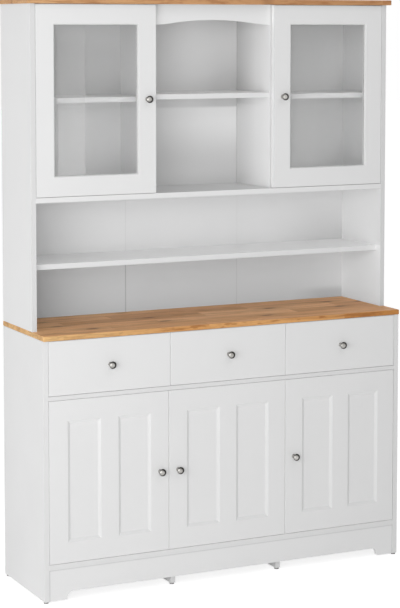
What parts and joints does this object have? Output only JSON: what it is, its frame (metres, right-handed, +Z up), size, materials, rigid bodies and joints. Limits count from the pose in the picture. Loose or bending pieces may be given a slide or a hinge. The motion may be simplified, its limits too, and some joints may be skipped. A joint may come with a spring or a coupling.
{
  "type": "buffet cabinet",
  "caption": "Two-part buffet cabinet: drawers over panelled doors below, glass doors, arched bay and open niche above.",
  "frame": {"origin": "centre of the floor rectangle under the whole cabinet, at floor level", "axes": "+Z up, -Y towards the front, +X to the right seen from the front"},
  "size_m": [1.2, 0.35, 1.724],
  "materials": {
    "white_board": "white painted board, satin",
    "oak_board": "oak look, matt lacquer",
    "back_sheet": "thin white-faced fibreboard",
    "clear_glass": "clear",
    "satin_nickel": "satin nickel",
    "hinge_steel": "nickel-plated steel",
    "runner_steel": "zinc-plated steel",
    "glide_plastic": "grey plastic"
  },
  "bodies": {
    "cabinet": {"base_side_left": "white_board", "base_side_right": "white_board", "base_divider_left": "white_board", "base_divider_right": "white_board", "base_bottom_board": "white_board", "drawer_rail": "white_board", "plinth_valance": "white_board", "middle_feet": "white_board", "hutch_side_left": "white_board", "hutch_side_right": "white_board", "hutch_bottom_board": "white_board", "hutch_divider_left": "white_board", "hutch_divider_right": "white_board", "niche_shelf": "white_board", "arch_valance": "white_board", "hutch_shelf_centre": "white_board", "hutch_shelf_left": "white_board", "hutch_shelf_right": "white_board", "base_shelf_left": "white_board", "base_shelf_middle": "white_board", "base_shelf_right": "white_board", "worktop": "oak_board", "crown_board": "oak_board", "base_back_panels": "back_sheet", "hutch_back_panels": "back_sheet", "floor_glides": "glide_plastic", "shelf_pins": "hinge_steel", "hinge_arms": "hinge_steel", "drawer_runners_fixed": "runner_steel"},
    "glass_door_left": {"glass_door_left_frame": "white_board", "glass_door_left_glass": "clear_glass", "glass_door_left_glass_beads": "white_board", "glass_door_left_knob": "satin_nickel", "glass_door_left_hinge_cups": "hinge_steel"},
    "glass_door_right": {"glass_door_right_frame": "white_board", "glass_door_right_glass": "clear_glass", "glass_door_right_glass_beads": "white_board", "glass_door_right_knob": "satin_nickel", "glass_door_right_hinge_cups": "hinge_steel"},
    "base_door_left": {"base_door_left_panel": "white_board", "base_door_left_knob": "satin_nickel", "base_door_left_hinge_cups": "hinge_steel"},
    "base_door_middle": {"base_door_middle_panel": "white_board", "base_door_middle_knob": "satin_nickel", "base_door_middle_hinge_cups": "hinge_steel"},
    "base_door_right": {"base_door_right_panel": "white_board", "base_door_right_knob": "satin_nickel", "base_door_right_hinge_cups": "hinge_steel"},
    "drawer_left": {"drawer_left_front": "white_board", "drawer_left_box": "white_board", "drawer_left_runners": "runner_steel", "drawer_left_knob": "satin_nickel"},
    "drawer_middle": {"drawer_middle_front": "white_board", "drawer_middle_box": "white_board", "drawer_middle_runners": "runner_steel", "drawer_middle_knob": "satin_nickel"},
    "drawer_right": {"drawer_right_front": "white_board", "drawer_right_box": "white_board", "drawer_right_runners": "runner_steel", "drawer_right_knob": "satin_nickel"}
  },
  "joints": [
    {"name": "glass_door_left_hinge", "type": "hinge", "parent": "cabinet", "child": "glass_door_left", "pos_m": [-0.572, -0.065, 1.157], "axis": [0, 0, -1], "range_deg": [0, 95]},
    {"name": "glass_door_right_hinge", "type": "hinge", "parent": "cabinet", "child": "glass_door_right", "pos_m": [0.572, -0.065, 1.157], "axis": [0, 0, 1], "range_deg": [0, 95]},
    {"name": "base_door_left_hinge", "type": "hinge", "parent": "cabinet", "child": "base_door_left", "pos_m": [-0.572, -0.151, 0.112], "axis": [0, 0, -1], "range_deg": [0, 95]},
    {"name": "base_door_middle_hinge", "type": "hinge", "parent": "cabinet", "child": "base_door_middle", "pos_m": [0.1905, -0.151, 0.112], "axis": [0, 0, 1], "range_deg": [0, 95]},
    {"name": "base_door_right_hinge", "type": "hinge", "parent": "cabinet", "child": "base_door_right", "pos_m": [0.572, -0.151, 0.112], "axis": [0, 0, 1], "range_deg": [0, 95]},
    {"name": "drawer_left_slide", "type": "slide", "parent": "cabinet", "child": "drawer_left", "axis": [0, -1, 0], "range_m": [0, 0.22]},
    {"name": "drawer_middle_slide", "type": "slide", "parent": "cabinet", "child": "drawer_middle", "axis": [0, -1, 0], "range_m": [0, 0.22]},
    {"name": "drawer_right_slide", "type": "slide", "parent": "cabinet", "child": "drawer_right", "axis": [0, -1, 0], "range_m": [0, 0.22]}
  ]
}
